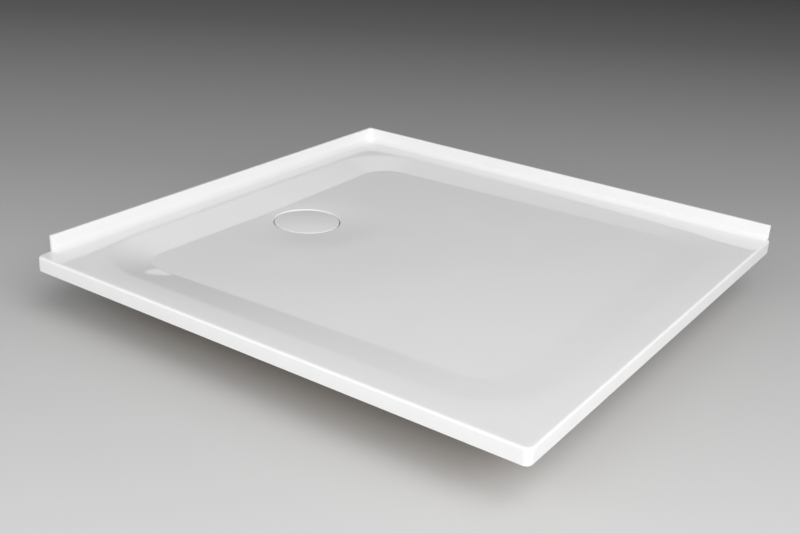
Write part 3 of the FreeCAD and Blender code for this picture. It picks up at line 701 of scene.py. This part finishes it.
slot_of = {row["node"]: row["material_slot"] for row in frame["record"]["subparts"]}
for name, thing in frame["nodes"].items():
    for slot in thing.material_slots:
        slot.material = MATERIALS[slot_of[name]]
    thing.data.shade_smooth()
    thing.data.set_sharp_from_angle(angle=math.radians(MOULDED_SHARP))


# ---------------------------------------------------------------- stage

# The floor's colour as painted light: lighter around the tray and painted darker nearer to and
# farther from the camera, by how far in metres it lies beyond the tray's middle from the camera.
FLOOR_NEAR, FLOOR_FAR = -6.0, 4.0
FLOOR_PAINTED_LIGHT = [(-6.0, 0.14), (-3.0, 0.3), (-1.0, 0.74), (0.75, 0.395), (2.5, 0.2), (4.0, 0.12)]
FLOOR_RADIUS = 30000.0
FLOOR_SIDES = 96
SKY_STRENGTH = 0.152


def build_floor():
    """A round floor, its colour painted lighter around the tray and darker with distance as
    painted light, and clear from below.
    """
    angles = [share * FULL_TURN for share in shares(FLOOR_SIDES)[:-1]]
    points = [(FLOOR_RADIUS * math.cos(a), FLOOR_RADIUS * math.sin(a), 0) for a in angles]
    n = Nodes("floor_painted_light_look")
    along = n.add("ShaderNodeVectorMath")
    along.operation = "DOT_PRODUCT"
    n.feed(along.inputs[0], n.coordinates)
    n.feed(along.inputs[1], Vector((AHEAD[0], AHEAD[1], 0.0)).normalized())
    painted_falloff = n.add("ShaderNodeMapRange", Value=along.outputs["Value"],
                 From_Min=FLOOR_NEAR, From_Max=FLOOR_FAR)
    # painted light: the ramp paints the floor's colour brighter around the tray and darker away
    # from it along the view
    stops = [((place - FLOOR_NEAR) / (FLOOR_FAR - FLOOR_NEAR), grey(tone))
             for place, tone in FLOOR_PAINTED_LIGHT]
    n.set(Base_Color=n.ramp(painted_falloff.outputs[0], stops), Roughness=0.9, Specular_IOR_Level=0.2)
    below = n.add("ShaderNodeNewGeometry").outputs["Backfacing"]
    blend = n.add("ShaderNodeMixShader")
    n.feed(blend.inputs[0], below)
    n.feed(blend.inputs[1], n.shader.outputs[0])
    n.feed(blend.inputs[2], n.add("ShaderNodeBsdfTransparent").outputs[0])
    n.feed(n.tree.nodes["Material Output"].inputs["Surface"], blend.outputs[0])
    floor = make_object("studio_floor", points, [tuple(range(FLOOR_SIDES))], n.material)


build_floor()

camera_data = bpy.data.cameras.new("camera")
camera_data.sensor_width = SENSOR
camera_data.lens = FOCAL_PIXELS / IMAGE_WIDTH * SENSOR
camera_data.clip_start, camera_data.clip_end = 0.05, 60
camera = bpy.data.objects.new("camera", camera_data)
bpy.context.scene.collection.objects.link(camera)
ahead = Vector(AHEAD).normalized()
right = ahead.cross(Vector(UP).normalized()).normalized()
up = right.cross(ahead)
camera.matrix_world = (Matrix.Translation(Vector(EYE) * MM)
                       @ Matrix((right, up, -ahead)).transposed().to_4x4())
bpy.context.scene.camera = camera
bpy.context.scene.view_settings.view_transform = "Standard"

world = bpy.data.worlds.new("world")
world.use_nodes = True
sky = world.node_tree.nodes["Background"]
sky.inputs["Color"].default_value = (1, 1, 1, 1)
sky.inputs["Strength"].default_value = SKY_STRENGTH
bpy.context.scene.world = world

# Lamps, in metres, all at one reach and of one size.
LAMP_REACH = 5.5
LAMP_SIZE = 4.0
LAMP_TARGET = (0, 0, 0.1)
# name: (turn from the front towards the right, height angle, watts)
LAMPS = {
    "low_left": (-30, 22, 41.1),
    "low_front": (10, 22, 68.7),
    "low_right": (50, 22, 88.9),
    "low_far_right": (90, 22, 66.1),
    "high_front": (15, 48, 26.7),
    "high_right": (60, 48, 166.4),
}
for name, (turn, rise, power) in LAMPS.items():
    turn, rise = math.radians(turn), math.radians(rise)
    way = Vector((math.sin(turn) * math.cos(rise), -math.cos(turn) * math.cos(rise),
                  math.sin(rise)))
    data = bpy.data.lights.new(name, "AREA")
    data.shape = "SQUARE"
    data.size = LAMP_SIZE
    data.energy = power
    lamp = bpy.data.objects.new(name, data)
    lamp.location = Vector(LAMP_TARGET) + way * LAMP_REACH
    lamp.rotation_mode = "QUATERNION"
    lamp.rotation_quaternion = (-way).to_track_quat("-Z", "Y")
    lamp.visible_camera = False
    bpy.context.scene.collection.objects.link(lamp)
